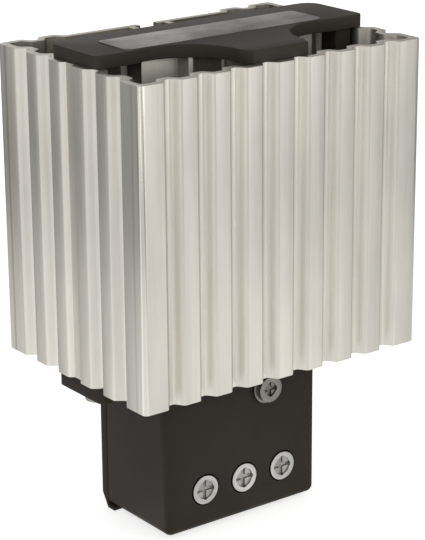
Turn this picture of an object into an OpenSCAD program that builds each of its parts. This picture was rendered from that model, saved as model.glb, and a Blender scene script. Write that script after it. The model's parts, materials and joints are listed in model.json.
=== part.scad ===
// Convection air heater for a 35 mm mounting rail.
// A fluted aluminium extrusion stands on a black connection housing. A stack of ceramic heating
// stones is sprung against the wall of its middle chamber, and air rises through the channels
// around the chamber. Three screw terminals face the front, and a moulded clip takes the rail
// behind.
// Millimetres. X runs across the wide faces, Y runs from the terminals to the rail, Z points up.
// The origin is under the middle of the extrusion, level with the lowest edge of the clip.

/* [Heat sink] */
// Width across the wide faces
sink_w = 70; // [64:0.5:90]
// Depth across the narrow faces
sink_d = 50; // [48:0.5:64]
// Length of the extrusion
sink_l = 65.5; // [60:0.5:140]
// Wall of the fluted ring
ring_wall = 1.6; // [1.3:0.1:2.2]
// Depth of the flutes
flute_depth = 2; // [1:0.1:2.4]
// Flutes on each wide face
wide_flutes = 8; // [5:1:9]
// Flutes on each narrow face
narrow_flutes = 5; // [3:1:6]
// Plain land from a corner to the first flute on a wide face
wide_land = 3.8; // [3:0.1:6]
// Plain land from a corner to the first flute on a narrow face
narrow_land = 4.5; // [3:0.1:6]
// Width of the flat on each ridge
ridge_flat = 3.4; // [2.4:0.1:3.8]
// Width of the flat at the bottom of each flute
flute_floor = 0.8; // [0.4:0.1:1.2]
// Radius of the four outer corners
corner_r = 1; // [0.6:0.1:2.4]
// Ridges left on each side of the flat middle of the rear face
rear_ridges = 1; // [1:1:2]
// Width of the mouth of the slot in the flat middle of the rear face
rear_mouth = 4.4; // [3:0.1:5]
// Width of that slot inside its mouth
rear_slot_w = 7.4; // [6:0.1:9]
// Depth of that slot inside its mouth
rear_slot_d = 3.2; // [2:0.1:4]
// Wall of the chamber that holds the heating stack
chamber_wall = 2.2; // [1.6:0.1:3]
// Thickness of the webs between chamber and ring
web_t = 3; // [2:0.1:4]
// Length of the short fins on the chamber
fin_l = 4; // [2:0.1:6]
// Thickness of the short fins on the chamber
fin_t = 1.6; // [1.2:0.1:2.4]
// Distance of the short fins from the middle web
fin_x = 12; // [10:0.5:16]
// Radius of the fillets in the section
web_fillet = 1.2; // [0.5:0.1:2]

/* [Heating stack] */
// Width of a heating stone
stone_w = 24; // [16:1:30]
// Height of a heating stone
stone_h = 15; // [10:1:16]
// Thickness of a heating stone
stone_t = 2.2; // [1.8:0.1:2.6]
// Number of heating stones
stone_count = 3; // [1:1:3]
// Margin of the locating frame around the stones
frame_margin = 4; // [2.5:0.5:5]
// Bar of the locating frame between stones
frame_bar = 3; // [2:0.5:3.5]
// Thickness of an electrode plate
electrode_t = 0.8; // [0.5:0.1:1]
// Width of an electrode plate
electrode_w = 27; // [20:1:34]
// Wall of the insulating sleeve
sleeve_t = 0.25; // [0.2:0.05:0.4]
// Thickness of the heat spreader
spreader_t = 1.5; // [1:0.1:2]
// Depth that the corrugated spring fills
spring_depth = 2.5; // [2:0.1:3.5]
// Thickness of the spring strip
spring_t = 0.5; // [0.3:0.1:0.6]
// Waves along the spring
spring_waves = 5; // [3:1:7]
// Width of the spring strip
spring_w = 22; // [14:1:30]
// Height of the stack's lower end above the end of the extrusion
stack_rise = 3; // [2:0.5:5]
// Depth of the stack's upper end below the end of the extrusion
stack_drop = 3; // [2:0.5:6]
// Gap between fitted pieces of the stack
stack_fit = 0.05; // [0.02:0.01:0.1]
// Gap from the sleeve to each narrow end of the chamber
stack_side_gap = 3; // [1:0.5:6]
// How far the sleeve stands past each end of the stack
sleeve_over = 1; // [0.5:0.1:1.5]

/* [Top cap] */
// Distance from each end of the cap's bar to the ring's outer face
cap_end = 1.4; // [1:0.1:3]
// Depth of the cap's bar
cap_d = 17.4; // [15:0.2:19]
// Height of the cap
cap_h = 2.7; // [2.4:0.1:5]
// Radius of the bar's rear corners
cap_rear_r = 3.5; // [1:0.5:5]
// Radius of the bar's front corners
cap_front_r = 1.5; // [0.5:0.5:3]
// Half the width of the end of the tongue that reaches the front of the ring
tongue_half = 6.8; // [6:0.1:9]
// Radius of the two scoops beside the tongue
scoop_r = 12.2; // [11:0.1:12.4]
// Distance of each scoop from the middle of the bar's length
scoop_x = 20.3; // [20:0.1:22]
// Distance of each scoop from the middle of the bar's depth
scoop_y = 20.2; // [20:0.1:21]
// Distance from the end of the tongue to the ring's outer face
tongue_back = 1.8; // [1.6:0.1:3]
// Length of the legs that plug into the extrusion
leg_l = 9; // [5:0.5:14]
// Width of those legs
leg_w = 4.1; // [3:0.1:6]
// How far the legs stand back from the bar's long faces
leg_setback = 1.1; // [1.1:0.1:2.5]
// Gap around the legs
leg_gap = 0.3; // [0.1:0.1:0.6]
// Length of the blank strip on the cap
strip_l = 49.4; // [30:0.1:56]
// Width of the blank strip on the cap
strip_w = 10.1; // [6:0.1:11]
// Distance of the strip's middle from the middle of the cap's length
strip_x = -1.2; // [-3:0.1:3]
// Distance of the strip's middle from the middle of the bar's depth
strip_y = -2.4; // [-2.5:0.1:2.5]
// Thickness of the blank strip
strip_t = 0.2; // [0.1:0.05:0.4]

/* [Connection housing] */
// Width of the housing
housing_w = 39.5; // [38:0.5:42]
// Distance from the middle of the sink to the housing's front face
housing_front = 10.8; // [10.8:0.1:14]
// Distance from the middle of the sink to the rear of the clip plate
housing_rear = 13.8; // [13:0.1:16]
// Height of the housing under the extrusion
housing_h = 35.9; // [35.9:0.1:44]
// Wall of the housing
housing_wall = 2; // [1.6:0.1:2.4]
// Floor of the housing
floor_t = 2.4; // [2:0.1:3.4]
// Thickness of the top plate and of the flange
flange_t = 3.3; // [2.8:0.1:4.5]
// Distance from each end of the flange to the ring's outer face
flange_end = 1.2; // [0.5:0.1:4]
// Depth of the flange
flange_d = 16; // [14:0.5:20]
// Radius of the housing's upright edges
edge_r = 1.6; // [0.8:0.1:2.4]
// Room around the electrodes in the top plate
passage_room = 0.5; // [0.4:0.1:1]
// Gap between loose fitted plastic pieces
plastic_fit = 0.2; // [0.1:0.05:0.3]

/* [Terminals] */
// Distance between terminals
terminal_pitch = 10.3; // [10:0.1:11]
// Distance of the middle terminal from the centre line
terminal_x = 0.2; // [0:0.1:0.8]
// Height of the terminal screws' axis above the foot of the cages
terminal_rise = 6.1; // [5:0.1:6.5]
// Width of a terminal cage
cage_w = 8.4; // [7.6:0.1:8.6]
// Height of a terminal cage
cage_h = 10; // [9:0.1:10.4]
// Threaded front wall of a cage
cage_front_t = 2.4; // [1.8:0.1:2.6]
// Depth of the cage's window
cage_window = 3.6; // [3:0.1:4]
// Rear wall of a cage
cage_rear_t = 1.4; // [1:0.1:1.6]
// Side wall of a cage
cage_side_t = 1.4; // [1:0.1:1.8]
// Radius of a terminal screw's thread
screw_r = 1.75; // [1.4:0.05:2]
// Radius of a terminal screw's head
head_r = 3.2; // [2.6:0.05:3.2]
// Height of a terminal screw's head
head_h = 2; // [1.4:0.1:2.4]
// How far the screw heads stand proud of the front
head_proud = 0.2; // [-0.4:0.1:0.6]
// Radius of the screwdriver holes
driver_hole_r = 3.5; // [3.4:0.05:3.7]
// Radius of the recess in a terminal screw's head
dish_r = 2; // [1.2:0.1:2.3]
// Depth of the recess in every screw head
dish_depth = 0.5; // [0.3:0.1:0.8]
// Radius of the recess in the other screws' heads
small_dish_r = 1.4; // [1:0.1:1.6]
// Gap around a screw thread
thread_gap = 0.05; // [0.02:0.01:0.1]
// Thickness of a pressure plate
plate_t = 0.5; // [0.4:0.05:0.7]
// Radius of a wire entry
entry_r = 1.9; // [1.5:0.05:2]
// Thickness of the partitions between cages
partition_t = 1.4; // [1:0.1:1.6]
// Room above the cages
cage_headroom = 2; // [1.5:0.1:2.5]
// Gap above and below a pressure plate
plate_gap = 0.6; // [0.4:0.1:1]
// Width of the slots in the screw heads
screw_slot = 0.8; // [0.6:0.1:1]
// Depth of the slots in the screw heads, past the recess
slot_depth = 0.6; // [0.4:0.1:0.8]
// How far the slots run past the recess
slot_over = 0.2; // [0.1:0.1:0.4]
// Thickness of the wall behind the cages
retainer_t = 1.4; // [1:0.1:1.6]
// Distance of that wall's ribs from the centre line
retainer_rib_x = 12.5; // [10:0.5:14]
// Height of that wall's ribs
retainer_rib_h = 8; // [5:0.5:10]

/* [Earth connection] */
// Thickness of the earth strap
strap_t = 0.8; // [0.6:0.1:1]
// Width of the earth strap under the extrusion
strap_w = 5; // [4.5:0.1:6]
// Height of the strap's tab above the foot of its cage
earth_tab_rise = 3; // [1:0.5:4]
// Distance of the earth screw from the centre line
earth_x = 6; // [6:0.1:7]
// Depth of the earth screw's axis under the extrusion
earth_drop = 8; // [8:0.1:10]
// Radius of the earth screw's thread
earth_r = 1.75; // [1.5:0.05:2]
// Radius of the earth screw's head
earth_head_r = 2.9; // [2.6:0.1:3.2]
// Height of the earth screw's head
earth_head_h = 1.3; // [1.2:0.1:2.4]
// Radius of the washer under the earth screw's head
washer_r = 3.4; // [3:0.1:3.8]
// Thickness of that washer
washer_t = 0.6; // [0.4:0.1:1]
// Size of the earth nut across its flats
nut_af = 6; // [5.5:0.5:7]
// Thickness of the earth nut
nut_t = 2.6; // [2:0.1:3.2]

/* [Fixing screws] */
// Distance of each fixing screw from the ring's outer face
fixing_inset = 5.8; // [5.4:0.1:6.8]
// Thread radius of the fixing screws
fixing_r = 1.45; // [1.2:0.05:1.5]
// Radius of the screw ports in the extrusion
port_r = 1.5; // [1.3:0.05:1.6]
// Metal around a screw port
port_wall = 1.3; // [1:0.1:1.4]
// Length of thread in the extrusion
fixing_l = 9; // [6:0.5:14]
// Radius of the fixing screws' heads
fixing_head_r = 2.8; // [2.4:0.1:3.2]
// Height of the fixing screws' heads
fixing_head_h = 2; // [1.4:0.1:2.6]

/* [Rail clip] */
// Width of the rail that the clip grips
rail_w = 35; // [35:0.1:35.2]
// Thickness of the rail's lips
rail_lip = 1; // [1:0.1:1.5]
// Distance from the rear of the housing to the rail
rail_stand = 4.2; // [3:0.1:5]
// Width of the clip's middle part
clip_w = 26; // [20:1:30]
// Thickness of the clip's plate
clip_plate_t = 2.2; // [1.8:0.1:2.6]
// Thickness of the upper hook
hook_top_t = 0.85; // [0.7:0.05:0.9]
// Thickness of the lower hook
hook_foot_t = 0.95; // [0.8:0.05:1.2]
// How far the foot stands below the housing, at least
lip_drop = 1; // [0.8:0.1:1.6]
// How far each hook reaches behind the rail's lip
hook_reach = 1.5; // [1:0.1:2]
// Thickness of the noses behind the rail's lips
nose_t = 1.2; // [0.8:0.1:1.6]
// Depth of the relief opposite each nose, which leaves the seat between the noses proud
seat_relief = 0.3; // [0.2:0.05:0.5]
// Thickness of the clip's springing leaf
leaf_t = 1.4; // [1.2:0.1:1.5]
// Gap in front of the leaf
leaf_gap = 1.2; // [0.8:0.1:1.4]
// Free length of the leaf
leaf_l = 25; // [18:1:28]
// Height of the slope at the foot of the clip
slope_h = 3.2; // [2.5:0.1:5]
// Depth of the slope at the foot of the clip
slope_d = 2; // [1:0.1:2.2]
// Depth of the foot under the housing
foot_d = 2.4; // [1.5:0.1:4]
// Thickness of the clip's two lugs inside the housing
lug_t = 1.4; // [1:0.1:2]
// Length of those lugs
lug_l = 5; // [3:0.5:7]
// Height of those lugs
lug_h = 6; // [4:0.5:8]

/* [Internal leads] */
// Radius over a lead's insulation
lead_r = 1.1; // [0.9:0.05:1.2]
// Radius of a lead's bare end
core_r = 0.8; // [0.5:0.05:0.85]
// Width of the electrode tabs
tab_w = 5; // [4:0.1:5.4]
// Length of the electrode tabs under the extrusion
tab_l = 7; // [6:0.1:8]
// Wall of a crimp
crimp_wall = 0.6; // [0.4:0.05:0.7]
// Height of a crimp's receptacle
crimp_box_h = 7; // [5:0.1:7.5]
// Height of a crimp's barrel
crimp_barrel_h = 4; // [3:0.1:5]
// Floor between a crimp's receptacle and its barrel
crimp_floor = 1; // [0.5:0.1:1.5]
// Straight part of a lead at each end of its bend
lead_straight = 1; // [0.5:0.1:2]

/* [Hidden] */
$fn = 64;
// Depth of a cut past the surface that it opens
cut = 1;
// Depth that joined shapes share
join = 0.5;
// Gap that keeps the clip clear of its neighbours
slip = 0.1;
// Distance of each fixing screw from the centre line
fixing_x = sink_w / 2 - fixing_inset;

// The rail between its two hooks, and the foot, which drops further under a low housing
rail_bottom = hook_foot_t;
rail_top = rail_bottom + rail_w;
hook_top = rail_top + hook_top_t;
foot_drop = max(lip_drop, hook_top + slip - housing_h);

// Floor of the slot in the rear face
rear_slot_floor = sink_d / 2 - flute_depth - ring_wall - rear_slot_d;

// Levels
sink_z = housing_h + foot_drop;
sink_top = sink_z + sink_l;
floor_z = foot_drop + floor_t;

// Heating stack, from the chamber's front wall to its rear wall
sleeve_in = 2 * electrode_t + stone_t + 2 * stack_fit;
sleeve_out = sleeve_in + 2 * sleeve_t;
slot_d = sleeve_out + spreader_t + spring_depth + 3 * stack_fit;
slot_front = -slot_d / 2;
sleeve_y = slot_front + stack_fit;
electrode_front_y = sleeve_y + sleeve_t + stack_fit;
stone_y = electrode_front_y + electrode_t;
electrode_rear_y = stone_y + stone_t;
spreader_y = sleeve_y + sleeve_out + stack_fit;
spring_y = spreader_y + spreader_t;
stack_h = sink_l - stack_rise - stack_drop;
stack_z = sink_z + stack_rise;
stone_pitch = stone_h + frame_bar;
frame_w = stone_w + 2 * frame_margin;
sleeve_w = frame_w + 2 * stack_fit + 2 * sleeve_t;
slot_w = sleeve_w + 2 * stack_side_gap;
chamber_w = slot_w + 2 * chamber_wall;
chamber_d = slot_d + 2 * chamber_wall;

// Spacing of the flutes
wide_pitch = (sink_w - 2 * wide_land) / wide_flutes;
narrow_pitch = (sink_d - 2 * narrow_land) / narrow_flutes;

// Terminals, from the front of the housing to the rear
front_y = -housing_front;
inner_front_y = front_y + housing_wall;
cage_y = inner_front_y + plastic_fit;
window_y = cage_y + cage_front_t;
cage_d = cage_front_t + cage_window + cage_rear_t;
cage_z = floor_z + plastic_fit / 2;
terminal_z = cage_z + terminal_rise;
retainer_y = cage_y + cage_d + plastic_fit;
core_y = window_y + cage_window - core_r - plastic_fit;
entry_y = window_y + cage_window / 2 - plastic_fit;
pocket_top = cage_z + cage_h + cage_headroom;
live_x = terminal_x - terminal_pitch;
neutral_x = terminal_x;
earth_terminal_x = terminal_x + terminal_pitch;

// Earth strap
strap_leg_y = inner_front_y;
strap_left = earth_x - strap_w / 2;
strap_right = earth_terminal_x + cage_w / 2 - cage_side_t - plastic_fit;
strap_tab_w = cage_w - 2 * cage_side_t - 2 * plastic_fit;
strap_shelf_z = pocket_top - strap_t;
strap_tab_y = window_y + cage_window - strap_t - plastic_fit;
earth_z = sink_z - earth_drop;

// Clip
clip_rear_y = housing_rear;
clip_front_y = housing_rear - clip_plate_t;
lug_z = earth_z - lug_h / 2;
shell_rear_y = clip_front_y - plastic_fit;
rail_y = clip_rear_y + rail_stand;

// Crimps and leads
tab_bottom = sink_z - tab_l;
crimp_box_z = tab_bottom - crimp_floor;
lead_top = crimp_box_z - thread_gap;
lead_bend_top = crimp_box_z - crimp_barrel_h - lead_straight;
lead_bend_bottom = pocket_top - lead_straight;

// Section of the extrusion

// A smooth step from 0 to 1, for the sides of the flutes and the bends of the leads
function flank(t) = t * t * (3 - 2 * t);

// One period of a fluted face from ridge to ridge, as [along, depth] points. An inset outline has
// its flanks nearer the ridge, so that the wall keeps its thickness there
function flute_points(pitch, inset) =
    let (
        lean = inset / 2,
        a = ridge_flat / 2 - lean,
        b = pitch / 2 - flute_floor / 2 - lean,
        steps = 5
    )
    concat(
        [for (i = [0:steps]) [a + (b - a) * i / steps, flute_depth * flank(i / steps)]],
        [for (i = [steps:-1:0]) [pitch - a - (b - a) * i / steps, flute_depth * flank(i / steps)]]
    );

// A whole face of flutes, centred, as [along, depth] points
function face_points(count, pitch, inset) =
    [
        for (k = [0:count - 1])
            for (p = flute_points(pitch, inset)) [p[0] + (k - count / 2) * pitch, p[1]]
    ];

// A wide face with a flat in place of its middle ridges, as [along, depth] points
function rear_points(count, pitch, inset) =
    let (
        points = face_points(count, pitch, inset),
        last = len(points) - 1,
        kept = (rear_ridges + 0.5) * len(points) / count
    )
    [for (i = [0:last]) if (i < kept || i > last - kept) points[i]];

// A quarter round corner about a centre, from one angle to 90 degrees more
function corner_points(cx, cy, r, start) =
    [for (i = [0:6]) [cx + r * cos(start + 15 * i), cy + r * sin(start + 15 * i)]];

// The ring's outline, moved inwards by an inset, anticlockwise from the front left
function ring_outline(inset, r) =
    let (
        w = sink_w / 2 - inset,
        d = sink_d / 2 - inset,
        wide = face_points(wide_flutes, wide_pitch, inset),
        rear = rear_points(wide_flutes, wide_pitch, inset),
        narrow = face_points(narrow_flutes, narrow_pitch, inset)
    )
    concat(
        corner_points(-w + r, -d + r, r, 180),
        [for (p = wide) [p[0], p[1] - d]],
        corner_points(w - r, -d + r, r, 270),
        [for (p = narrow) [w - p[1], p[0]]],
        corner_points(w - r, d - r, r, 0),
        [for (p = rear) [-p[0], d - p[1]]],
        corner_points(-w + r, d - r, r, 90),
        [for (p = narrow) [p[1] - w, -p[0]]]
    );

module ring_section() {
    difference() {
        polygon(ring_outline(0, corner_r));
        polygon(ring_outline(ring_wall, corner_r));
    }
}

// A fillet in the corner between a wall along X and a web along Y
module fillet_section() {
    difference() {
        translate([-join, -join]) square(web_fillet + join);
        translate([web_fillet, web_fillet]) circle(web_fillet);
    }
}

// A web from the chamber to the ring, with a fillet on each side where it leaves the chamber
module middle_web_section() {
    ring_in = sink_d / 2 - ring_wall;
    translate([-web_t / 2, chamber_d / 2 - chamber_wall / 2])
        square([web_t, ring_in - chamber_d / 2 + chamber_wall / 2 + ring_wall / 3]);
    for (s = [-1, 1])
        scale([s, 1]) translate([web_t / 2, chamber_d / 2]) fillet_section();
}

module end_web_section() {
    ring_in = sink_w / 2 - ring_wall;
    translate([chamber_w / 2 - chamber_wall / 2, -web_t / 2])
        square([ring_in - chamber_w / 2 + chamber_wall / 2 + ring_wall / 3, web_t]);
    translate([fixing_x, 0]) circle(port_r + port_wall);
}

module fin_section() {
    translate([-fin_t / 2, chamber_d / 2 - chamber_wall / 2])
        square([fin_t, fin_l + chamber_wall / 2 - fin_t / 2]);
    translate([0, chamber_d / 2 + fin_l - fin_t / 2]) circle(fin_t / 2);
}

// The walls round the slot in the rear face
module rear_slot_walls() {
    translate([-rear_slot_w / 2 - ring_wall, rear_slot_floor - ring_wall])
        square([rear_slot_w + 2 * ring_wall, rear_slot_d + 1.5 * ring_wall]);
}

// The slot itself, which takes the nut of a fixing on the rear face
module rear_slot_room() {
    translate([-rear_slot_w / 2, rear_slot_floor]) square([rear_slot_w, rear_slot_d]);
    translate([-rear_mouth / 2, rear_slot_floor]) square([rear_mouth, sink_d / 2 - rear_slot_floor]);
}

module sink_section() {
    difference() {
        union() {
            ring_section();
            rear_slot_walls();
            square([chamber_w, chamber_d], center = true);
            for (s = [-1, 1]) {
                scale([1, s]) middle_web_section();
                scale([s, 1]) end_web_section();
                for (t = [-1, 1])
                    scale([t, s]) translate([fin_x, 0]) fin_section();
            }
        }
        square([slot_w, slot_d], center = true);
        rear_slot_room();
        for (s = [-1, 1])
            translate([s * fixing_x, 0]) circle(port_r);
    }
}

module heat_sink() {
    color("silver")
        translate([0, 0, sink_z]) linear_extrude(sink_l) sink_section();
}

// Top cap

// A rectangle with one radius at its two front corners and another at its two rear corners
module rounded_bar(l, d, front_r, rear_r) {
    for (s = [-1, 1]) {
        translate([s * (l / 2 - front_r), front_r - d / 2]) circle(front_r);
        translate([s * (l / 2 - rear_r), d / 2 - rear_r]) circle(rear_r);
    }
    translate([front_r - l / 2, -d / 2]) square([l - 2 * front_r, d / 2]);
    translate([rear_r - l / 2, 0]) square([l - 2 * rear_r, d / 2]);
    translate([-l / 2, front_r - d / 2]) square([l, d - front_r - rear_r]);
}

// A bar with a tongue to the front of the ring, and a round scoop on each side of the tongue
module cap_section() {
    reach = sink_d / 2 - tongue_back;
    difference() {
        union() {
            rounded_bar(sink_w - 2 * cap_end, cap_d, cap_front_r, cap_rear_r);
            translate([-scoop_x, -reach]) square([2 * scoop_x, reach]);
        }
        for (s = [-1, 1])
            scale([s, -1]) {
                translate([scoop_x, scoop_y]) circle(scoop_r);
                polygon([
                    [scoop_x - scoop_r, scoop_y],
                    [tongue_half, reach],
                    [tongue_half, reach + cut],
                    [scoop_x + scoop_r, reach + cut],
                    [scoop_x + scoop_r, scoop_y]
                ]);
            }
    }
}

// Four legs, one each side of the extrusion's end webs
module leg_section() {
    outer_x = sink_w / 2 - ring_wall - flute_depth - leg_gap;
    inner_y = port_r + port_wall + leg_gap;
    for (s = [-1, 1])
        for (t = [-1, 1])
            scale([s, t]) translate([outer_x - leg_w, inner_y])
                square([leg_w, cap_d / 2 - leg_setback - inner_y]);
}

module top_cap() {
    color([0.13, 0.12, 0.11]) {
        translate([0, 0, sink_top]) linear_extrude(cap_h) cap_section();
        translate([0, 0, sink_top - leg_l]) linear_extrude(leg_l + cap_h / 2) leg_section();
    }
}

module cap_strip() {
    color([0.62, 0.61, 0.59])
        translate([strip_x - strip_l / 2, strip_y - strip_w / 2, sink_top + cap_h])
            cube([strip_l, strip_w, strip_t]);
}

// Heating stack

function stone_z(i) = stack_z + stack_h / 2 + (i - (stone_count + 1) / 2) * stone_pitch;

module heating_stone(i) {
    color([0.55, 0.5, 0.46])
        if (i <= stone_count)
            translate([-stone_w / 2, stone_y, stone_z(i) - stone_h / 2])
                cube([stone_w, stone_t, stone_h]);
}

module stone_frame() {
    window_w = stone_w + 2 * stack_fit;
    window_h = stone_h + 2 * stack_fit;
    color([0.88, 0.86, 0.8])
        difference() {
            translate([-frame_w / 2, stone_y + stack_fit, stack_z])
                cube([frame_w, stone_t - 2 * stack_fit, stack_h]);
            for (i = [1:stone_count])
                translate([-window_w / 2, stone_y - cut, stone_z(i) - window_h / 2])
                    cube([window_w, stone_t + 2 * cut, window_h]);
        }
}

module electrode(y, tab_x) {
    color([0.8, 0.75, 0.6]) {
        translate([-electrode_w / 2, y, stack_z])
            cube([electrode_w, electrode_t, stack_h]);
        translate([tab_x - tab_w / 2, y, tab_bottom])
            cube([tab_w, electrode_t, stack_z - tab_bottom + join]);
    }
}

module electrode_live() { electrode(electrode_front_y, live_x); }
module electrode_neutral() { electrode(electrode_rear_y, neutral_x); }

module insulating_sleeve() {
    color([0.75, 0.5, 0.15])
        translate([0, sleeve_y + sleeve_out / 2, stack_z - sleeve_over])
            linear_extrude(stack_h + 2 * sleeve_over)
                difference() {
                    square([sleeve_w, sleeve_out], center = true);
                    square([frame_w + 2 * stack_fit, sleeve_out - 2 * sleeve_t], center = true);
                }
}

module heat_spreader() {
    color([0.75, 0.75, 0.74])
        translate([-frame_w / 2, spreader_y, stack_z])
            cube([frame_w, spreader_t, stack_h]);
}

// Middle line of the spring, as [depth, height] points
function spring_line() =
    let (n = spring_waves * 12, sweep_d = spring_depth - spring_t)
    [for (i = [0:n]) [
        spring_t / 2 + sweep_d * (1 - cos(360 * spring_waves * i / n)) / 2,
        stack_h * i / n
    ]];

module corrugated_spring() {
    line = spring_line();
    half = spring_t / 2;
    color([0.6, 0.62, 0.65])
        translate([-spring_w / 2, spring_y, stack_z])
            rotate([90, 0, 90])
                linear_extrude(spring_w)
                    polygon(concat(
                        [for (p = line) [p[0] - half, p[1]]],
                        [for (i = [len(line) - 1:-1:0]) [line[i][0] + half, line[i][1]]]
                    ));
}

// Connection housing

module housing_outline() {
    for (s = [-1, 1])
        translate([s * (housing_w / 2 - edge_r), front_y + edge_r]) circle(edge_r);
    translate([edge_r - housing_w / 2, front_y]) square([housing_w - 2 * edge_r, 2 * edge_r]);
    translate([-housing_w / 2, front_y + edge_r])
        square([housing_w, shell_rear_y - front_y - edge_r]);
}

// Room inside the shell, open to the rear
module housing_room() {
    translate([-housing_w / 2 + housing_wall, inner_front_y, floor_z])
        cube([housing_w - 2 * housing_wall, housing_front + housing_rear, sink_z - flange_t - floor_z]);
}

// Walls between the cages
module partitions() {
    for (k = [-1.5, -0.5, 0.5, 1.5])
        translate([
            terminal_x + k * terminal_pitch - partition_t / 2,
            inner_front_y - join,
            floor_z - join
        ])
            cube([
                partition_t,
                cage_y + cage_d - inner_front_y + join,
                cage_z + cage_h - floor_z + join
            ]);
}

// The hole in the front wall for a screwdriver
module driver_hole(x) {
    translate([x, front_y - cut, terminal_z])
        rotate([-90, 0, 0]) cylinder(r = driver_hole_r, h = housing_wall + 2 * cut);
}

module wire_entry(x) {
    funnel = 0.7;
    translate([x, entry_y, foot_drop - cut]) cylinder(r = entry_r, h = floor_t + 2 * cut);
    translate([x, entry_y, foot_drop - funnel])
        cylinder(r1 = entry_r + 2 * funnel, r2 = entry_r, h = 2 * funnel);
}

// Room in the top plate for the electrode tabs, the crimps and the earth strap
module top_passage() {
    half_w = electrode_w / 2 + passage_room;
    half_d = slot_d / 2 + passage_room;
    translate([-half_w, -half_d, sink_z - flange_t - cut])
        cube([2 * half_w, 2 * half_d, flange_t + 2 * cut]);
    translate([strap_left - plastic_fit, inner_front_y, sink_z - flange_t - cut])
        cube([
            strap_right - strap_left + 2 * plastic_fit,
            -half_d - inner_front_y + cut,
            flange_t + 2 * cut
        ]);
    translate([half_w - cut, -strap_w / 2 - plastic_fit, sink_z - strap_t])
        cube([
            fixing_x + strap_w / 2 + plastic_fit - half_w + cut,
            strap_w + 2 * plastic_fit,
            strap_t + cut
        ]);
}

module terminal_housing() {
    color([0.13, 0.12, 0.11]) {
        difference() {
            union() {
                translate([0, 0, foot_drop]) linear_extrude(housing_h) housing_outline();
                translate([0, 0, sink_z - flange_t]) linear_extrude(flange_t)
                    rounded_bar(sink_w - 2 * flange_end, flange_d, edge_r, edge_r);
            }
            housing_room();
            top_passage();
            for (k = [-1, 0, 1]) {
                driver_hole(terminal_x + k * terminal_pitch);
                wire_entry(terminal_x + k * terminal_pitch);
            }
            translate([earth_x, front_y - cut, earth_z])
                rotate([-90, 0, 0]) cylinder(r = earth_r + plastic_fit, h = housing_wall + 2 * cut);
            for (s = [-1, 1])
                translate([s * fixing_x, 0, sink_z - flange_t - cut])
                    cylinder(r = fixing_r + plastic_fit, h = flange_t + 2 * cut);
        }
        partitions();
    }
}

// Moulded wall behind the cages, with two ribs that the clip's plate holds forward
module terminal_retainer() {
    w = housing_w - 2 * housing_wall - 2 * plastic_fit;
    color([0.17, 0.16, 0.15]) {
        translate([-w / 2, retainer_y, floor_z + plastic_fit / 2])
            cube([w, retainer_t, pocket_top - floor_z]);
        for (s = [-1, 1])
            translate([s * retainer_rib_x - retainer_t / 2, retainer_y, floor_z + plastic_fit / 2])
                cube([retainer_t, clip_front_y - plastic_fit / 2 - retainer_y, retainer_rib_h]);
    }
}

// Side view of the clip's full-width plate and foot, as [y, z] points
function clip_plate_side() =
    let (foot_y = clip_rear_y - slope_d)
    [
        [clip_rear_y, sink_z - slip],
        [clip_rear_y, slope_h],
        [foot_y, 0],
        [foot_y - foot_d, 0],
        [foot_y - foot_d, foot_drop - slip],
        [clip_front_y, foot_drop - slip],
        [clip_front_y, sink_z - slip]
    ];

// Side view of the clip's middle part with both hooks, as [y, z] points
function clip_hook_side() =
    let (
        nose_y = rail_y + rail_lip + slip,
        end_y = nose_y + nose_t,
        relief_y = rail_y - seat_relief,
        relief_l = hook_reach + slip
    )
    [
        [clip_rear_y - join, hook_top],
        [end_y, hook_top],
        [end_y, rail_top - hook_reach],
        [nose_y, rail_top - hook_reach],
        [nose_y, rail_top],
        [relief_y, rail_top],
        [relief_y, rail_top - relief_l],
        [rail_y, rail_top - relief_l],
        [rail_y, rail_bottom + relief_l],
        [relief_y, rail_bottom + relief_l],
        [relief_y, rail_bottom],
        [nose_y, rail_bottom],
        [nose_y, rail_bottom + hook_reach],
        [end_y, rail_bottom + hook_reach - nose_t / 2],
        [end_y, nose_t],
        [end_y - nose_t, 0],
        [rail_y - leaf_t, 0],
        [rail_y - leaf_t, leaf_l],
        [rail_y - leaf_t - leaf_gap, leaf_l],
        [rail_y - leaf_t - leaf_gap, slope_h + join],
        [clip_rear_y - join, slope_h + join]
    ];

// A side view given as [y, z] points, given a width and centred on X
module side_slab(points, w) {
    translate([-w / 2, 0, 0])
        rotate([90, 0, 90]) linear_extrude(w) polygon(points);
}

module rail_clip() {
    color([0.13, 0.12, 0.11]) {
        side_slab(clip_plate_side(), housing_w);
        side_slab(clip_hook_side(), clip_w);
        for (s = [-1, 1])
            translate([
                s * (housing_w / 2 - housing_wall - plastic_fit - lug_t / 2) - lug_t / 2,
                clip_front_y - lug_l,
                lug_z
            ])
                cube([lug_t, lug_l + join, lug_h]);
    }
}

// Terminals

module cage(x) {
    color([0.78, 0.7, 0.5])
        difference() {
            translate([x - cage_w / 2, cage_y, cage_z]) cube([cage_w, cage_d, cage_h]);
            translate([x - cage_w / 2 + cage_side_t, window_y, cage_z - cut])
                cube([cage_w - 2 * cage_side_t, cage_window, cage_h + 2 * cut]);
            translate([x, cage_y - cut, terminal_z])
                rotate([-90, 0, 0]) cylinder(r = screw_r + thread_gap, h = cage_front_t + 1.5 * cut);
        }
}

module cage_live() { cage(live_x); }
module cage_neutral() { cage(neutral_x); }
module cage_earth() { cage(earth_terminal_x); }

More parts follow.
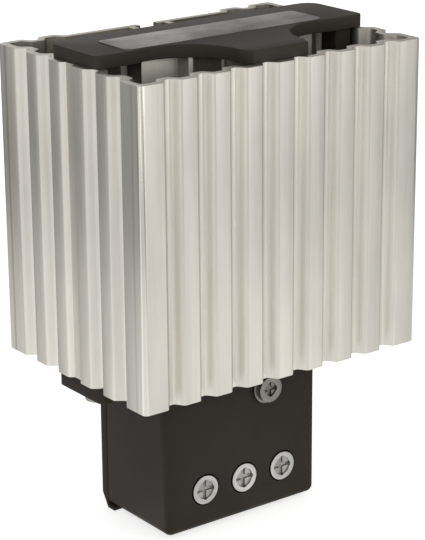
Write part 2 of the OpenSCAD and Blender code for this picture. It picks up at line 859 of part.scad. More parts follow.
// A cylinder-headed screw that points along +Y, with the middle of its head's face at the origin
module headed_screw(hr, hh, r, l, dish) {
    slot_l = 2 * (dish + slot_over);
    slot_h = cut + dish_depth + slot_depth;
    difference() {
        union() {
            rotate([-90, 0, 0]) cylinder(r = hr, h = hh);
            rotate([-90, 0, 0]) cylinder(r = r, h = hh + l);
        }
        translate([0, -cut, 0]) rotate([-90, 0, 0]) cylinder(r = dish, h = cut + dish_depth);
        translate([-slot_l / 2, -cut, -screw_slot / 2]) cube([slot_l, slot_h, screw_slot]);
        translate([-screw_slot / 2, -cut, -slot_l / 2]) cube([screw_slot, slot_h, slot_l]);
    }
}

module terminal_screw(x) {
    head_y = front_y - head_proud;
    color([0.75, 0.75, 0.74])
        translate([x, head_y, terminal_z])
            headed_screw(
                head_r, head_h, screw_r,
                window_y - plastic_fit / 2 - head_y - head_h, dish_r
            );
}

module terminal_screw_live() { terminal_screw(live_x); }
module terminal_screw_neutral() { terminal_screw(neutral_x); }
module terminal_screw_earth() { terminal_screw(earth_terminal_x); }

module pressure_plate(x) {
    w = cage_w - 2 * cage_side_t - 2 * plastic_fit;
    color([0.7, 0.7, 0.68])
        translate([x - w / 2, window_y, cage_z + plate_gap])
            cube([w, plate_t, cage_h - 2 * plate_gap]);
}

module pressure_plate_live() { pressure_plate(live_x); }
module pressure_plate_neutral() { pressure_plate(neutral_x); }
module pressure_plate_earth() { pressure_plate(earth_terminal_x); }

// Earth connection

// Ring under the fixing screw, arm under the extrusion, leg down the front wall, shelf and tab
module earth_strap() {
    arm_z = sink_z - strap_t;
    color([0.72, 0.72, 0.7])
        difference() {
            union() {
                translate([fixing_x, 0, arm_z]) cylinder(r = strap_w / 2, h = strap_t);
                translate([strap_left, -strap_w / 2, arm_z])
                    cube([fixing_x - strap_left, strap_w, strap_t]);
                translate([strap_left, strap_leg_y, arm_z])
                    cube([strap_right - strap_left, -strap_leg_y, strap_t]);
                translate([strap_left, strap_leg_y, strap_shelf_z])
                    cube([strap_right - strap_left, strap_t, sink_z - strap_shelf_z]);
                translate([earth_terminal_x - strap_tab_w / 2, strap_leg_y, strap_shelf_z])
                    cube([strap_tab_w, strap_tab_y + strap_t - strap_leg_y, strap_t]);
                translate([earth_terminal_x - strap_tab_w / 2, strap_tab_y, cage_z + earth_tab_rise])
                    cube([strap_tab_w, strap_t, pocket_top - cage_z - earth_tab_rise]);
            }
            translate([fixing_x, 0, arm_z - cut])
                cylinder(r = fixing_r + thread_gap, h = strap_t + 2 * cut);
            translate([earth_x, strap_leg_y - cut, earth_z])
                rotate([-90, 0, 0]) cylinder(r = earth_r + thread_gap, h = strap_t + 2 * cut);
        }
}

module earth_screw() {
    tail = 0.8;
    color([0.72, 0.72, 0.7])
        translate([earth_x, front_y - washer_t - earth_head_h, earth_z])
            headed_screw(
                earth_head_r, earth_head_h, earth_r,
                washer_t + housing_wall + strap_t + nut_t + tail, small_dish_r
            );
}

module earth_washer() {
    color([0.66, 0.66, 0.64])
        translate([earth_x, front_y - washer_t, earth_z])
            rotate([-90, 0, 0])
                difference() {
                    cylinder(r = washer_r, h = washer_t);
                    translate([0, 0, -cut]) cylinder(r = earth_r + thread_gap, h = washer_t + 2 * cut);
                }
}

module earth_nut() {
    color([0.66, 0.66, 0.64])
        translate([earth_x, strap_leg_y + strap_t, earth_z])
            rotate([-90, 0, 0])
                difference() {
                    cylinder(r = nut_af / 2 / cos(30), h = nut_t, $fn = 6);
                    translate([0, 0, -cut]) cylinder(r = earth_r + thread_gap, h = nut_t + 2 * cut);
                }
}

// Fixing screws

module fixing_screw(x) {
    color([0.66, 0.66, 0.64])
        translate([x, 0, sink_z - flange_t - fixing_head_h])
            rotate([90, 0, 0])
                headed_screw(
                    fixing_head_r, fixing_head_h, fixing_r, flange_t + fixing_l, small_dish_r
                );
}

module fixing_screw_left() { fixing_screw(-fixing_x); }
module fixing_screw_right() { fixing_screw(fixing_x); }

// Internal leads

// A receptacle over the electrode tab, with a round barrel under it for the lead
module crimp(x, tab_y) {
    y = tab_y + electrode_t / 2;
    room_w = tab_w + 2 * thread_gap;
    room_d = electrode_t + 2 * thread_gap;
    barrel_r = lead_r + thread_gap + crimp_wall;
    color([0.75, 0.72, 0.62])
        difference() {
            union() {
                translate([x - room_w / 2 - crimp_wall, y - room_d / 2 - crimp_wall, crimp_box_z])
                    cube([room_w + 2 * crimp_wall, room_d + 2 * crimp_wall, crimp_box_h]);
                translate([x, y, crimp_box_z - crimp_barrel_h])
                    cylinder(r = barrel_r, h = crimp_barrel_h + crimp_floor / 2);
            }
            translate([x - room_w / 2, y - room_d / 2, tab_bottom - thread_gap])
                cube([room_w, room_d, crimp_box_h]);
            translate([x, y, crimp_box_z - crimp_barrel_h - cut])
                cylinder(r = lead_r + thread_gap, h = crimp_barrel_h + cut);
        }
}

module crimp_live() { crimp(live_x, electrode_front_y); }
module crimp_neutral() { crimp(neutral_x, electrode_rear_y); }

// Middle line of a lead in the YZ plane, from the crimp to the cage, as [y, z] points
function lead_line(y) =
    let (n = 10)
    concat(
        [[y, lead_top]],
        [for (i = [0:n]) [
            y + (core_y - y) * flank(i / n),
            lead_bend_top + (lead_bend_bottom - lead_bend_top) * i / n
        ]],
        [[core_y, lead_bend_bottom - lead_straight]]
    );

// Unit direction of a line of points at one of them
function line_direction(line, i) =
    let (
        a = line[max(i - 1, 0)],
        b = line[min(i + 1, len(line) - 1)],
        v = [b[0] - a[0], b[1] - a[1]]
    )
    v / norm(v);

// A round tube of constant radius along a line in the YZ plane
module planar_tube(line, r, sides) {
    rings = [
        for (i = [0:len(line) - 1])
            let (d = line_direction(line, i))
                for (k = [0:sides - 1])
                    let (u = r * cos(360 * k / sides), v = r * sin(360 * k / sides))
                        [u, line[i][0] - v * d[1], line[i][1] + v * d[0]]
    ];
    n = len(line);
    polyhedron(
        points = rings,
        faces = concat(
            [[for (k = [sides - 1:-1:0]) k]],
            [for (i = [0:n - 2]) for (k = [0:sides - 1])
                let (a = i * sides + k, b = i * sides + (k + 1) % sides)
                    [a, b, b + sides, a + sides]],
            [[for (k = [0:sides - 1]) (n - 1) * sides + k]]
        )
    );
}

module lead(x, tab_y, shade) {
    color(shade)
        translate([x, 0, 0]) {
            planar_tube(lead_line(tab_y + electrode_t / 2), lead_r, 12);
            translate([0, core_y, cage_z + cage_h / 2])
                cylinder(r = core_r, h = lead_bend_bottom - cage_z - cage_h / 2);
        }
}

module lead_live() { lead(live_x, electrode_front_y, [0.45, 0.28, 0.16]); }
module lead_neutral() { lead(neutral_x, electrode_rear_y, [0.18, 0.3, 0.6]); }

heat_sink();
top_cap();
cap_strip();
heating_stone(1);  // heating_stone_1
heating_stone(2);  // heating_stone_2
heating_stone(3);  // heating_stone_3
stone_frame();
electrode_live();
electrode_neutral();
insulating_sleeve();
heat_spreader();
corrugated_spring();
terminal_housing();
terminal_retainer();
rail_clip();
cage_live();
cage_neutral();
cage_earth();
terminal_screw_live();
terminal_screw_neutral();
terminal_screw_earth();
pressure_plate_live();
pressure_plate_neutral();
pressure_plate_earth();
earth_strap();
earth_screw();
earth_washer();
earth_nut();
fixing_screw_left();
fixing_screw_right();
crimp_live();
crimp_neutral();
lead_live();
lead_neutral();
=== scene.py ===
import json
import math

import bmesh
import bpy
from mathutils import Matrix, Vector


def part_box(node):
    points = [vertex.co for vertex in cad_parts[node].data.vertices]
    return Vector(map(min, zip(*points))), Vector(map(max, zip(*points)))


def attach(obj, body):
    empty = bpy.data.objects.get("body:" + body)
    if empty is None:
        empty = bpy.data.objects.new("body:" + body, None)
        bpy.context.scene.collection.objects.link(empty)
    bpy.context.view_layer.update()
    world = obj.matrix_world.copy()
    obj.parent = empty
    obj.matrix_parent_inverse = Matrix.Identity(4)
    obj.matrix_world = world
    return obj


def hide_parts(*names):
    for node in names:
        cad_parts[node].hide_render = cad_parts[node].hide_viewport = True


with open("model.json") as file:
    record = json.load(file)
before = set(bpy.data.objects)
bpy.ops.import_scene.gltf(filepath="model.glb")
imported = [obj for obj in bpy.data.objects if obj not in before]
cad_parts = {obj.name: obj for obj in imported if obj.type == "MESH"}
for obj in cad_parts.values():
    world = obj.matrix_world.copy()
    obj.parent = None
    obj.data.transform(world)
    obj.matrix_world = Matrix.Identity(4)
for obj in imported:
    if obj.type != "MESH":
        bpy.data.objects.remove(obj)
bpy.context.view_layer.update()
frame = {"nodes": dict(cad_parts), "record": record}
solids = frame["nodes"]

MM = 0.001


# Camera, fitted to the heater's corners in the photograph

TURN = math.radians(36.83)
TILT = math.radians(18.25)
ROLL = math.radians(0.43)
LENS = 136.6
SENSOR_HEIGHT = 36
# The middle of the extrusion's lower end, and how far right, down and ahead of the lens it lies
SINK_FOOT = Vector((0, 0, 36.9)) * MM
TO_RIGHT, TO_DOWN, TO_AHEAD = -0.09, 15.64, 436.2


def place_camera():
    ahead = Vector((
        math.sin(TURN) * math.cos(TILT),
        math.cos(TURN) * math.cos(TILT),
        -math.sin(TILT),
    ))
    level_right = Vector((math.cos(TURN), -math.sin(TURN), 0))
    level_down = ahead.cross(level_right)
    right = math.cos(ROLL) * level_right + math.sin(ROLL) * level_down
    down = math.cos(ROLL) * level_down - math.sin(ROLL) * level_right
    spot = SINK_FOOT - MM * (TO_RIGHT * right + TO_DOWN * down + TO_AHEAD * ahead)
    camera = bpy.data.cameras.new("camera")
    camera.sensor_fit = "VERTICAL"
    camera.sensor_height = SENSOR_HEIGHT
    camera.lens = LENS
    camera.clip_start = 0.01
    eye = bpy.data.objects.new("camera", camera)
    turned = Matrix((right, -down, -ahead)).transposed().to_4x4()
    eye.matrix_world = Matrix.Translation(spot) @ turned
    bpy.context.scene.collection.objects.link(eye)
    bpy.context.scene.camera = eye


# Shader helpers

def feed(tree, socket, value):
    """Links an input to another node's output, or sets it to a constant."""
    if isinstance(value, bpy.types.NodeSocket):
        tree.links.new(value, socket)
    else:
        socket.default_value = value


def node(tree, kind, feeds=None, **settings):
    """A new node with its settings made first and then its inputs fed."""
    made = tree.nodes.new(kind)
    for name, value in settings.items():
        setattr(made, name, value)
    for label, value in (feeds or {}).items():
        feed(tree, made.inputs[label], value)
    return made


def maths(tree, operation, *values):
    return node(tree, "ShaderNodeMath", dict(enumerate(values)), operation=operation).outputs[0]


def times(tree, first, second):
    return maths(tree, "MULTIPLY", first, second)


def vector_maths(tree, operation, *values):
    made = node(tree, "ShaderNodeVectorMath", dict(enumerate(values)), operation=operation)
    return made.outputs["Value" if operation in ("DOT_PRODUCT", "LENGTH") else "Vector"]


def ranged(tree, value, low, high, to_low=0.0, to_high=1.0):
    """A value carried from one range to another and held at its ends."""
    feeds = {
        "Value": value,
        "From Min": low,
        "From Max": high,
        "To Min": to_low,
        "To Max": to_high,
    }
    return node(tree, "ShaderNodeMapRange", feeds).outputs["Result"]


def noise(tree, vector, scale, detail=2.0, roughness=0.5):
    feeds = {"Vector": vector, "Scale": scale, "Detail": detail, "Roughness": roughness}
    return node(tree, "ShaderNodeTexNoise", feeds).outputs["Fac"]


def stretched_noise(tree, vector, shrink, **grain):
    """Noise that runs long along the axes that are shrunk."""
    feeds = {"Vector": vector, "Scale": shrink}
    drawn_out = node(tree, "ShaderNodeMapping", feeds).outputs["Vector"]
    return noise(tree, drawn_out, **grain)


def mixed(tree, share, first, second, **settings):
    feeds = {"Factor": share, "A": first, "B": second}
    return node(tree, "ShaderNodeMix", feeds, **settings).outputs["Result"]


def axes(tree, vector):
    return node(tree, "ShaderNodeSeparateXYZ", {0: vector}).outputs


def flattened(tree, vector):
    """A vector without its height."""
    return vector_maths(tree, "MULTIPLY", vector, (1, 1, 0))


def start_group(name, inputs, outputs):
    """An empty node group whose inputs are numbers, or vectors where the default is None."""
    group = bpy.data.node_groups.new(name, "ShaderNodeTree")
    for label, value in inputs.items():
        kind = "NodeSocketVector" if value is None else "NodeSocketFloat"
        socket = group.interface.new_socket(label, in_out="INPUT", socket_type=kind)
        if value is not None:
            socket.default_value = value
    for label in outputs:
        group.interface.new_socket(label, in_out="OUTPUT", socket_type="NodeSocketFloat")
    return group, node(group, "NodeGroupInput").outputs, node(group, "NodeGroupOutput").inputs


def lay_out(tree, column_width=220, row_height=260):
    """Places each node in a column left of all that it feeds."""
    column = {made.name: 0 for made in tree.nodes}
    for _ in tree.nodes:
        for link in tree.links:
            source, target = link.from_node.name, link.to_node.name
            column[source] = max(column[source], column[target] + 1)
    filled = {}
    for made in tree.nodes:
        place = column[made.name]
        filled[place] = filled.get(place, 0) + 1
        made.location = (-column_width * place, -row_height * filled[place])


# Surface effects

def die_lines_group():
    """Fine lines that a die leaves along Z, slow bands, and saw marks along X on the cut ends."""
    group, entry, leave = start_group(
        "die_lines", {"Vector": None, "Normal": None, "Band": 0.5}, ("Tone", "Height", "Cut End"))
    vector = entry["Vector"]
    lines = stretched_noise(group, vector, (1, 1, 0.012), scale=3200)
    streaks = stretched_noise(group, vector, (1, 1, 0.02), scale=800, detail=1.0)
    bands = stretched_noise(group, vector, (1, 1, 0.22), scale=150, detail=3.0, roughness=0.6)
    saw_marks = stretched_noise(group, vector, (0.05, 1, 1), scale=2400)
    upright = maths(group, "ABSOLUTE", axes(group, entry["Normal"])["Z"])
    cut_end = ranged(group, upright, 0.8, 0.95)
    drawn = maths(group, "ADD", times(group, lines, 0.4), times(group, streaks, 0.5))
    slow = times(group, maths(group, "SUBTRACT", bands, 0.5), entry["Band"])
    along = maths(group, "ADD", drawn, slow)
    feed(group, leave["Tone"], mixed(group, cut_end, along, saw_marks))
    feed(group, leave["Height"], mixed(group, cut_end, lines, saw_marks))
    feed(group, leave["Cut End"], cut_end)
    return group


def inner_walls_group():
    """Masks of the walls inside a hollow section, given by half its size, and of its corners."""
    group, entry, leave = start_group(
        "inner_walls",
        {"Vector": None, "Normal": None, "Half Width": 0.0, "Half Depth": 0.0},
        ("Inside", "Corner"),
    )
    point, facing = axes(group, entry["Vector"]), axes(group, entry["Normal"])
    deep, turned_in, outermost = [], [], []
    for axis, reach in (("X", "Half Width"), ("Y", "Half Depth")):
        # How far inside the hollow a point lies along this axis, below 0 in the ring round it
        room = maths(group, "SUBTRACT", entry[reach], maths(group, "ABSOLUTE", point[axis]))
        deep.append(ranged(group, room, 0.0, 0.2 * MM))
        outermost.append(ranged(group, room, -0.8 * MM, -1.1 * MM))
        near_wall = ranged(group, room, 1.0 * MM, 0.8 * MM)
        lean = times(group, point[axis], facing[axis])
        inward = ranged(group, lean, 0.0, -2.0 * MM)
        turned_in.append(times(group, near_wall, inward))
    inside = maths(group, "MAXIMUM", times(group, *deep), maths(group, "MAXIMUM", *turned_in))
    feed(group, leave["Inside"], inside)
    feed(group, leave["Corner"], times(group, *outermost))
    return group


def mould_grain_group():
    """The fine spark texture of a moulded face, with a slow change in tone."""
    group, entry, leave = start_group(
        "mould_grain",
        {"Vector": None, "Grain": 3000.0, "Flow": 60.0, "Share": 0.35},
        ("Tone", "Height"),
    )
    fine = noise(group, entry["Vector"], entry["Grain"], detail=1.0)
    slow = noise(group, entry["Vector"], entry["Flow"], detail=3.0)
    feed(group, leave["Tone"], mixed(group, entry["Share"], slow, fine))
    feed(group, leave["Height"], fine)
    return group


def turned_grain_group():
    """Fine tool marks and a slight stain."""
    group, entry, leave = start_group("turned_grain", {"Vector": None}, ("Tone", "Height"))
    stain = noise(group, entry["Vector"], scale=420, detail=3.0)
    fine = noise(group, entry["Vector"], scale=6000)
    tone = maths(group, "ADD", times(group, stain, 0.7), times(group, fine, 0.3))
    feed(group, leave["Tone"], tone)
    feed(group, leave["Height"], fine)
    return group


DIE_LINES = die_lines_group()
INNER_WALLS = inner_walls_group()
MOULD_GRAIN = mould_grain_group()
TURNED_GRAIN = turned_grain_group()


# Materials

class Surface:
    """A material that follows one surface effect on Object coordinates.

    Its colour goes from dark to light while the effect's tone goes through the spread, its
    roughness goes through a range, and a bump of a depth in millimetres follows the height.
    """

    def __init__(self, name, group, dark, light, rough, depth, values=None, spread=(0.0, 1.0)):
        self.material = bpy.data.materials.new(name)
        self.material.use_nodes = True
        self.tree = self.material.node_tree
        self.shader = self.tree.nodes["Principled BSDF"].inputs
        self.place = node(self.tree, "ShaderNodeTexCoord").outputs
        self.effect = self.add_effect(group, values)
        tone = self.effect["Tone"]
        share = ranged(self.tree, tone, *spread)
        colour = mixed(self.tree, share, (*dark, 1), (*light, 1), data_type="RGBA")
        bump = {"Strength": 1.0, "Distance": depth * MM, "Height": self.effect["Height"]}
        self.give("Base Color", colour)
        self.give("Roughness", ranged(self.tree, tone, 0.0, 1.0, *rough))
        self.give("Normal", node(self.tree, "ShaderNodeBump", bump).outputs["Normal"])

    def add_effect(self, group, values=None):
        made = node(self.tree, "ShaderNodeGroup", values, node_tree=group)
        feed(self.tree, made.inputs["Vector"], self.place["Object"])
        if "Normal" in made.inputs:
            feed(self.tree, made.inputs["Normal"], self.place["Normal"])
        return made.outputs

    def give(self, label, value):
        feed(self.tree, self.shader[label], value)

    def linked(self, label):
        return self.shader[label].links[0].from_socket

    def darken_where(self, mask, share):
        """Leaves only a share of the colour where a mask is 1."""
        dulled = mixed(
            self.tree, mask, self.linked("Base Color"), (*share, 1),
            data_type="RGBA", blend_type="MULTIPLY")
        self.give("Base Color", dulled)


def drawn_metal(name, *tones, band=0.5):
    surface = Surface(name, DIE_LINES, *tones, values={"Band": band})
    surface.give("Metallic", 1.0)
    return surface


def extruded_metal(name, *tones):
    """Drawn metal with rubbed corners, darker cut ends, and painted shade on the inner walls that
    deepens to the rear.
    """
    surface = drawn_metal(name, *tones, band=1.2)
    tree, cut_end = surface.tree, surface.effect["Cut End"]
    hollow = {"Half Width": 32.9 * MM, "Half Depth": 22.9 * MM}
    walls = surface.add_effect(INNER_WALLS, hollow)
    rubbed = times(tree, walls["Corner"], 0.22)
    surface.give("Roughness", maths(tree, "SUBTRACT", surface.linked("Roughness"), rubbed))
    # Painted shade: the walls inside the hollow are darkened, most toward the rear, where the cap
    # and the deep channels keep light out.
    depth = axes(tree, surface.place["Object"])["Y"]
    rearward = ranged(tree, depth, -8 * MM, 16 * MM, 0.5, 1.0)
    uncut = maths(tree, "SUBTRACT", 1.0, cut_end)
    painted_inner_shade = times(tree, times(tree, walls["Inside"], rearward), uncut)
    surface.darken_where(painted_inner_shade, (0.30, 0.29, 0.27))
    surface.darken_where(cut_end, (0.70, 0.69, 0.67))
    return surface


def moulded_plastic(name, *tones, grain=3000.0, gloss=0.5):
    surface = Surface(name, MOULD_GRAIN, *tones, values={"Grain": grain})
    surface.give("IOR", 1.46)
    surface.give("Specular IOR Level", gloss)
    return surface


def satin_plastic(name, *tones):
    return moulded_plastic(name, *tones, gloss=0.2)


def fired_ceramic(name, *tones):
    return moulded_plastic(name, *tones, grain=1800.0)


def cloudy_foil(name, *tones):
    """Thin metal foil whose tone drifts in soft clouds."""
    clouds = {"Grain": 2600.0, "Flow": 110.0, "Share": 0.08}
    surface = Surface(name, MOULD_GRAIN, *tones, values=clouds, spread=(0.34, 0.66))
    surface.give("Metallic", 1.0)
    return surface


def turned_metal(name, *tones):
    surface = Surface(name, TURNED_GRAIN, *tones)
    surface.give("Metallic", 1.0)
    return surface


def recessed_metal(name, *tones):
    """Turned metal with painted shade in the recess of the terminal screws' heads."""
    surface = turned_metal(name, *tones)
    depth = axes(surface.tree, surface.place["Object"])["Y"]
    # Painted shade: the colour is darkened behind the front of the heads, in their recess.
    surface.darken_where(ranged(surface.tree, depth, -10.9 * MM, -10.6 * MM), (0.72, 0.72, 0.70))
    return surface


# Finish: kind, darkest and lightest colour, range of roughness, depth of the grain in millimetres
RECIPES = {
    "sink_aluminium": (
        extruded_metal, (0.68, 0.652, 0.592), (0.92, 0.882, 0.802), (0.39, 0.49), 0.012),
    "black_plastic": (
        satin_plastic, (0.030, 0.0240, 0.0175), (0.042, 0.0340, 0.0255), (0.48, 0.62), 0.012),
    # Painted light: a lighter copy of the black plastic that lifts the cap's shaded faces.
    "lit_cap_plastic": (
        satin_plastic, (0.043, 0.0355, 0.0272), (0.059, 0.0495, 0.0385), (0.48, 0.62), 0.012),
    "strip_foil": (
        cloudy_foil, (0.15, 0.141, 0.131), (0.42, 0.402, 0.380), (0.36, 0.5), 0.002),
    "stone_ceramic": (
        fired_ceramic, (0.20, 0.16, 0.13), (0.34, 0.29, 0.25), (0.75, 0.9), 0.02),
    "frame_plastic": (
        moulded_plastic, (0.70, 0.67, 0.58), (0.80, 0.78, 0.70), (0.45, 0.6), 0.01),
    "electrode_metal": (
        drawn_metal, (0.60, 0.52, 0.34), (0.78, 0.70, 0.50), (0.28, 0.42), 0.004),
    "amber_film": (
        moulded_plastic, (0.50, 0.25, 0.04), (0.66, 0.36, 0.08), (0.12, 0.2), 0.002),
    "spreader_aluminium": (
        drawn_metal, (0.62, 0.62, 0.61), (0.80, 0.80, 0.79), (0.3, 0.42), 0.004),
    "spring_steel": (
        drawn_metal, (0.40, 0.41, 0.43), (0.56, 0.57, 0.60), (0.25, 0.38), 0.003),
    "brass": (
        turned_metal, (0.62, 0.46, 0.20), (0.80, 0.64, 0.34), (0.28, 0.42), 0.003),
    "plated_steel": (
        recessed_metal, (0.46, 0.452, 0.43), (0.66, 0.648, 0.62), (0.30, 0.42), 0.003),
    # Painted shade: a darker copy of the plated steel for the earth screw, washer and nut, which
    # sit in shade under the extrusion.
    "shaded_steel": (
        turned_metal, (0.20, 0.19, 0.17), (0.36, 0.345, 0.31), (0.38, 0.52), 0.003),
    "tinned_strap": (
        drawn_metal, (0.56, 0.56, 0.54), (0.76, 0.76, 0.74), (0.3, 0.42), 0.003),
    "brown_insulation": (
        moulded_plastic, (0.11, 0.045, 0.018), (0.17, 0.07, 0.03), (0.3, 0.4), 0.004),
    "blue_insulation": (
        moulded_plastic, (0.02, 0.07, 0.30), (0.03, 0.11, 0.42), (0.3, 0.4), 0.004),
}
FINISHES = {name: make(name, *tones).material for name, (make, *tones) in RECIPES.items()}
SLOT_OF = {part["node"]: part["material_slot"] for part in frame["record"]["subparts"]}
FINISH_OF = {
    **SLOT_OF,
    # The cap wears the lighter copy of the black plastic, which is painted light.
    "top_cap": "lit_cap_plastic",
    # The earth parts wear the darker copy of the steel, which is painted shade.
    "earth_screw": "shaded_steel",
    "earth_washer": "shaded_steel",
    "earth_nut": "shaded_steel",
}


# Pieces. Widths and radii are in millimetres.

# Angles in radians from which an edge is eased, and from which one at the foot is rounded
SHARP_EDGE = math.radians(28)
FOOT_EDGE = 1.0
# Distances under which vertices are merged, and under which they count as level with the foot
MERGED = 0.002 * MM
LEVEL = 0.01 * MM


def wear_finish(piece, name):
    piece.data.materials.clear()
    piece.data.materials.append(FINISHES[FINISH_OF[name]])


def shade(mesh, degrees=32):
    """Smooth shading that stops at edges sharper than an angle."""
    mesh.shade_smooth()
    mesh.set_sharp_from_angle(angle=math.radians(degrees))


def dress_solids():
    for name, solid in solids.items():
        wear_finish(solid, name)
        shade(solid.data)


def bevel(form, geom, width, segments, affect="EDGES", **more):
    bmesh.ops.bevel(form, geom=geom, offset=width * MM, offset_type="OFFSET", affect=affect,
                    segments=segments, profile=0.5, material=-1, **more)


def sharper(edge, angle):
    return len(edge.link_faces) == 2 and edge.calc_face_angle(0) > angle


def stand_in(form, mesh, piece_name, name, degrees=32):
    """Turns a form into a piece that stands for a CAD node."""
    form.to_mesh(mesh)
    form.free()
    shade(mesh, degrees)
    piece = bpy.data.objects.new(piece_name, mesh)
    bpy.context.scene.collection.objects.link(piece)
    wear_finish(piece, name)
    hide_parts(name)
    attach(piece, "root")


def round_hem(form, radius):
    """Rounds the outer edges at the front and sides of a form's underside."""
    height = min(v.co.z for v in form.verts)
    foot = {v for v in form.verts if abs(v.co.z - height) < LEVEL}
    reach = max(abs(v.co.x) for v in foot)
    front = min(v.co.y for v in foot)

    def on_rim(vert):
        return abs(vert.co.x) > reach - 2 * MM or vert.co.y < front + 2 * MM

    def faces_out(edge):
        outward = Vector((*edge.verts[0].co.xy, 0))
        return any(face.normal.dot(outward) > 0 for face in edge.link_faces)

    rim = [e for e in form.edges if all(v in foot and on_rim(v) for v in e.verts)]
    hem = [e for e in rim if sharper(e, FOOT_EDGE) and faces_out(e)]
    bevel(form, hem, radius, 5, clamp_overlap=True)


def eased_copy(name, width, segments=3, hem=0.0):
    """A copy of a solid with its sharp edges eased by a width, and its hem rounded by a radius."""
    mesh = solids[name].data.copy()
    form = bmesh.new()
    form.from_mesh(mesh)
    bmesh.ops.remove_doubles(form, verts=form.verts, dist=MERGED)
    bmesh.ops.dissolve_degenerate(form, edges=form.edges, dist=MERGED)
    bmesh.ops.dissolve_limit(
        form, angle_limit=math.radians(0.6), verts=form.verts, edges=form.edges)
    if hem:
        round_hem(form, hem)
    sharp = [e for e in form.edges if sharper(e, SHARP_EDGE)]
    bevel(form, sharp, width, segments, clamp_overlap=True, miter_outer="ARC")
    bmesh.ops.triangulate(form, faces=[f for f in form.faces if len(f.verts) > 4])
    stand_in(form, mesh, name + "_eased", name)


def blank_strip(corner=1.2, rim_width=0.06):
    """The thin blank foil on the cap, with rounded corners."""
    low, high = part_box("cap_strip")
    middle, size = (low + high) / 2, high - low
    form = bmesh.new()
    bmesh.ops.create_grid(form, x_segments=1, y_segments=1, size=0.5)
    bmesh.ops.scale(form, vec=(size.x, size.y, 1), verts=form.verts)
    bevel(form, list(form.verts), corner, 6, affect="VERTICES")
    raised = bmesh.ops.extrude_face_region(form, geom=list(form.faces))
    top = [v for v in raised["geom"] if isinstance(v, bmesh.types.BMVert)]
    bmesh.ops.translate(form, vec=(0, 0, size.z), verts=top)
    bmesh.ops.translate(form, vec=(middle.x, middle.y, low.z), verts=form.verts)
    bmesh.ops.recalc_face_normals(form, faces=form.faces)
    rim = [e for e in form.edges if all(abs(v.co.z - high.z) < 0.0001 * MM for v in e.verts)]
    bevel(form, rim, rim_width, 2)
    stand_in(form, bpy.data.meshes.new("blank_strip"), "blank_strip", "cap_strip", 30)


# Studio

# Where a side lies, the cosines at which its loss of light sets in and is full, and the loss
STUDIO_SIDES = (
    ((-0.56, 0.83, 0), 0.60, 0.975, 0.86),
    ((1, 0, 0), 0.44, 0.72, 0.80),
    ((-0.85, -0.53, 0), 0.30, 0.90, 0.50),
    ((0.05, -1, 0), 0.955, 0.995, 0.60),
    ((-1, 0, 0), 0.94, 0.99, -0.32),
)
OPEN_LEVEL = 1.17
AIR_FALL = 0.95
SEEN_GLOW = 0.68
FLOOR_WHITE = 0.93
HEATER_MIDDLE = Vector((0, 0, 60)) * MM


def studio_level_group():
    """The light that comes from each side of the studio."""
    group, entry, leave = start_group("studio_level", {"Vector": None, "Fall": 1.0}, ("Level",))
    side = vector_maths(group, "NORMALIZE", flattened(group, entry["Vector"]))
    taken = 0.0
    for aim, start, full, loss in STUDIO_SIDES:
        toward = vector_maths(group, "DOT_PRODUCT", side, aim)
        taken = maths(group, "ADD", taken, ranged(group, toward, start, full, 0.0, loss))
    level = maths(group, "SUBTRACT", OPEN_LEVEL, times(group, taken, entry["Fall"]))
    feed(group, leave["Level"], level)
    return group


STUDIO_LEVEL = studio_level_group()


def studio_level(tree, vector, fall):
    feeds = {"Vector": vector, "Fall": fall}
    return node(tree, "ShaderNodeGroup", feeds, node_tree=STUDIO_LEVEL).outputs["Level"]


def seen_directly(tree, path):
    return maths(tree, "MAXIMUM", path["Is Camera Ray"], path["Is Transmission Ray"])


def pale_floor():
    """A white floor that keeps the heater's shadow and mirrors as the studio's light."""
    form = bmesh.new()
    bmesh.ops.create_grid(form, x_segments=1, y_segments=1, size=1.5)
    mesh = bpy.data.meshes.new("floor")
    form.to_mesh(mesh)
    form.free()
    floor = bpy.data.objects.new("floor", mesh)
    bpy.context.scene.collection.objects.link(floor)
    material = bpy.data.materials.new("floor")
    material.use_nodes = True
    tree = material.node_tree
    shader = tree.nodes["Principled BSDF"].inputs
    path = node(tree, "ShaderNodeLightPath").outputs
    place = node(tree, "ShaderNodeTexCoord").outputs["Object"]
    distance = vector_maths(tree, "LENGTH", flattened(tree, place))
    level = studio_level(tree, place, ranged(tree, distance, 0.12, 0.32, 0.6, 1.05))
    dimmed = times(tree, level, ranged(tree, distance, 0.10, 0.40, 1.06, 0.90))
    mirrored = times(tree, path["Is Glossy Ray"], dimmed)
    glow = maths(tree, "ADD", times(tree, seen_directly(tree, path), SEEN_GLOW), mirrored)
    white, black = (FLOOR_WHITE, FLOOR_WHITE, FLOOR_WHITE, 1), (0, 0, 0, 1)
    colour = mixed(tree, path["Is Glossy Ray"], white, black, data_type="RGBA")
    surface = {
        "Roughness": 0.9,
        "Specular IOR Level": 0.0,
        "Base Color": colour,
        "Emission Color": glow,
        "Emission Strength": 1.0,
    }
    for label, value in surface.items():
        feed(tree, shader[label], value)
    lay_out(tree)
    floor.data.materials.append(material)


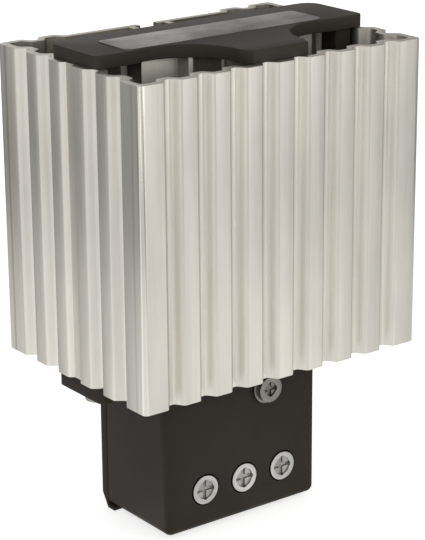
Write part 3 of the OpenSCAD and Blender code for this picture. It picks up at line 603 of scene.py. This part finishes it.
def studio_air():
    """Soft light that falls off overhead, and white where the camera looks."""
    world = bpy.data.worlds.new("studio")
    bpy.context.scene.world = world
    world.use_nodes = True
    tree = world.node_tree
    tree.nodes.clear()
    place = node(tree, "ShaderNodeTexCoord").outputs["Generated"]
    overhead = ranged(tree, axes(tree, place)["Z"], 0.15, 0.75, 1.0, 0.8)
    level = times(tree, studio_level(tree, place, AIR_FALL), overhead)
    light = node(tree, "ShaderNodeBackground", {"Color": level}).outputs[0]
    white = node(tree, "ShaderNodeBackground", {"Color": (1, 1, 1, 1)}).outputs[0]
    seen = seen_directly(tree, node(tree, "ShaderNodeLightPath").outputs)
    shown = node(tree, "ShaderNodeMixShader", {0: seen, 1: light, 2: white}).outputs[0]
    node(tree, "ShaderNodeOutputWorld", {"Surface": shown})
    lay_out(tree)


def soft_lamp(name, spot, size, watts):
    """A plain lamp turned to the heater's middle."""
    lamp = bpy.data.lights.new(name, "AREA")
    lamp.shape = "RECTANGLE"
    lamp.size, lamp.size_y = size
    lamp.energy = watts
    holder = bpy.data.objects.new(name, lamp)
    holder.location = spot
    holder.rotation_euler = (HEATER_MIDDLE - Vector(spot)).to_track_quat("-Z", "Y").to_euler()
    bpy.context.scene.collection.objects.link(holder)


place_camera()
dress_solids()
eased_copy("heat_sink", 0.12, segments=2)
eased_copy("top_cap", 0.3)
eased_copy("terminal_housing", 0.3, hem=1.6)
eased_copy("rail_clip", 0.2)
for name in ("terminal_screw_live", "terminal_screw_neutral", "terminal_screw_earth",
             "earth_screw", "fixing_screw_left", "fixing_screw_right"):
    eased_copy(name, 0.12)
eased_copy("earth_washer", 0.1)
eased_copy("earth_nut", 0.15)
blank_strip()
pale_floor()
studio_air()
soft_lamp("edge", (-0.85, -0.62, 0.16), (0.22, 0.5), 0.4)
soft_lamp("key", (0.25, -0.85, 0.45), (0.6, 0.6), 1.0)
for group in (DIE_LINES, INNER_WALLS, MOULD_GRAIN, TURNED_GRAIN, STUDIO_LEVEL):
    lay_out(group)
for finish in FINISHES.values():
    lay_out(finish.node_tree)
bpy.context.scene.view_settings.view_transform = "Standard"
